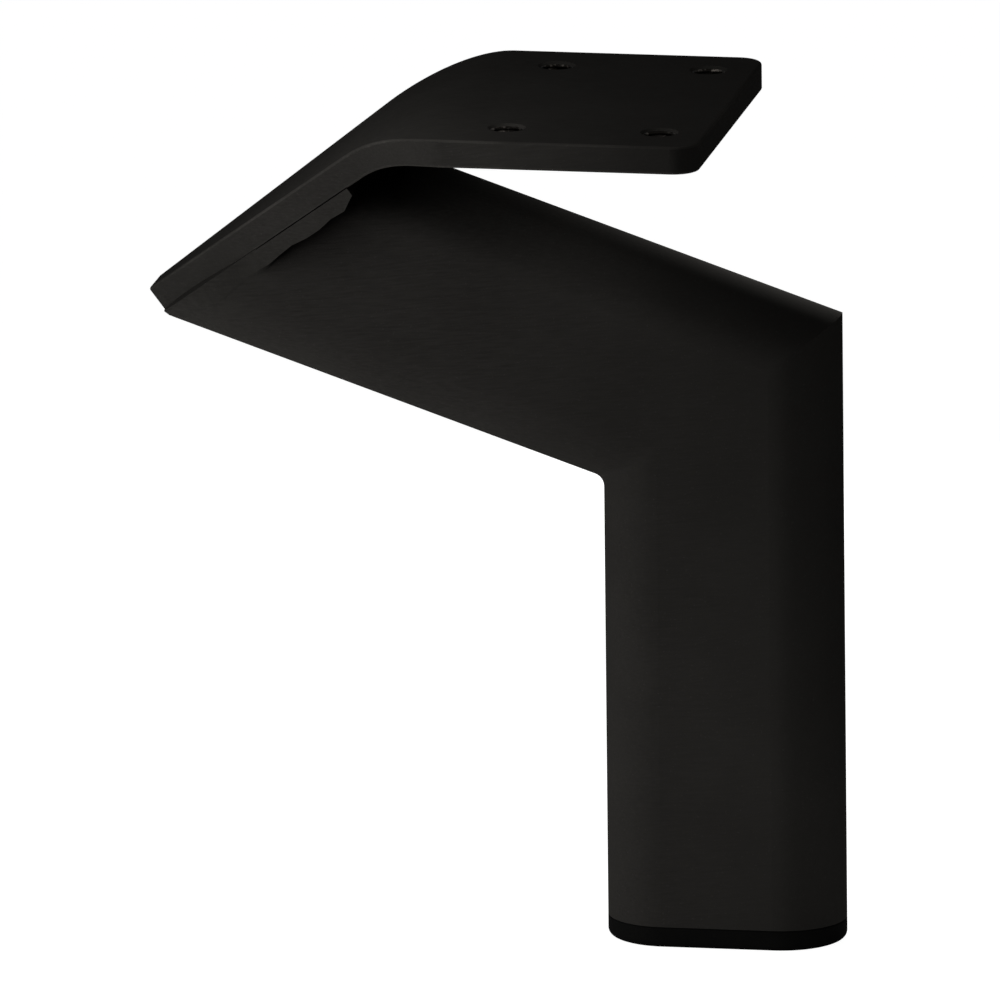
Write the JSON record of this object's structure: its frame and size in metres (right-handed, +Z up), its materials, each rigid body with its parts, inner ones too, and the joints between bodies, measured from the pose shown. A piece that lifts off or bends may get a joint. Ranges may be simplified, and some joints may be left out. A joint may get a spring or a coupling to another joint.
{
  "type": "furniture leg",
  "caption": "Black steel furniture leg: a flat-oval tube mitred into an upright post and a slanting arm, with a bent screw plate welded on top and a plastic foot cap.",
  "frame": {"origin": "centre of the screw pattern, on the top face of the mounting plate", "axes": "+Z up, square to the plate; +X from the screw pattern towards the post, in the plane of the arm; +Y across the plate"},
  "size_m": [0.1222, 0.0712, 0.15],
  "materials": {
    "tube_steel": "satin black over brushed steel",
    "plate_steel": "satin black over brushed steel",
    "weld_steel": "satin black over a ground weld",
    "cap_plastic": "fine-grained black plastic"
  },
  "bodies": {
    "root": {"post_tube": "tube_steel", "arm_tube": "tube_steel", "mounting_plate": "plate_steel", "plate_weld_front": "weld_steel", "plate_weld_back": "weld_steel", "corner_weld": "tube_steel", "foot_cap": "cap_plastic"}
  },
  "joints": []
}
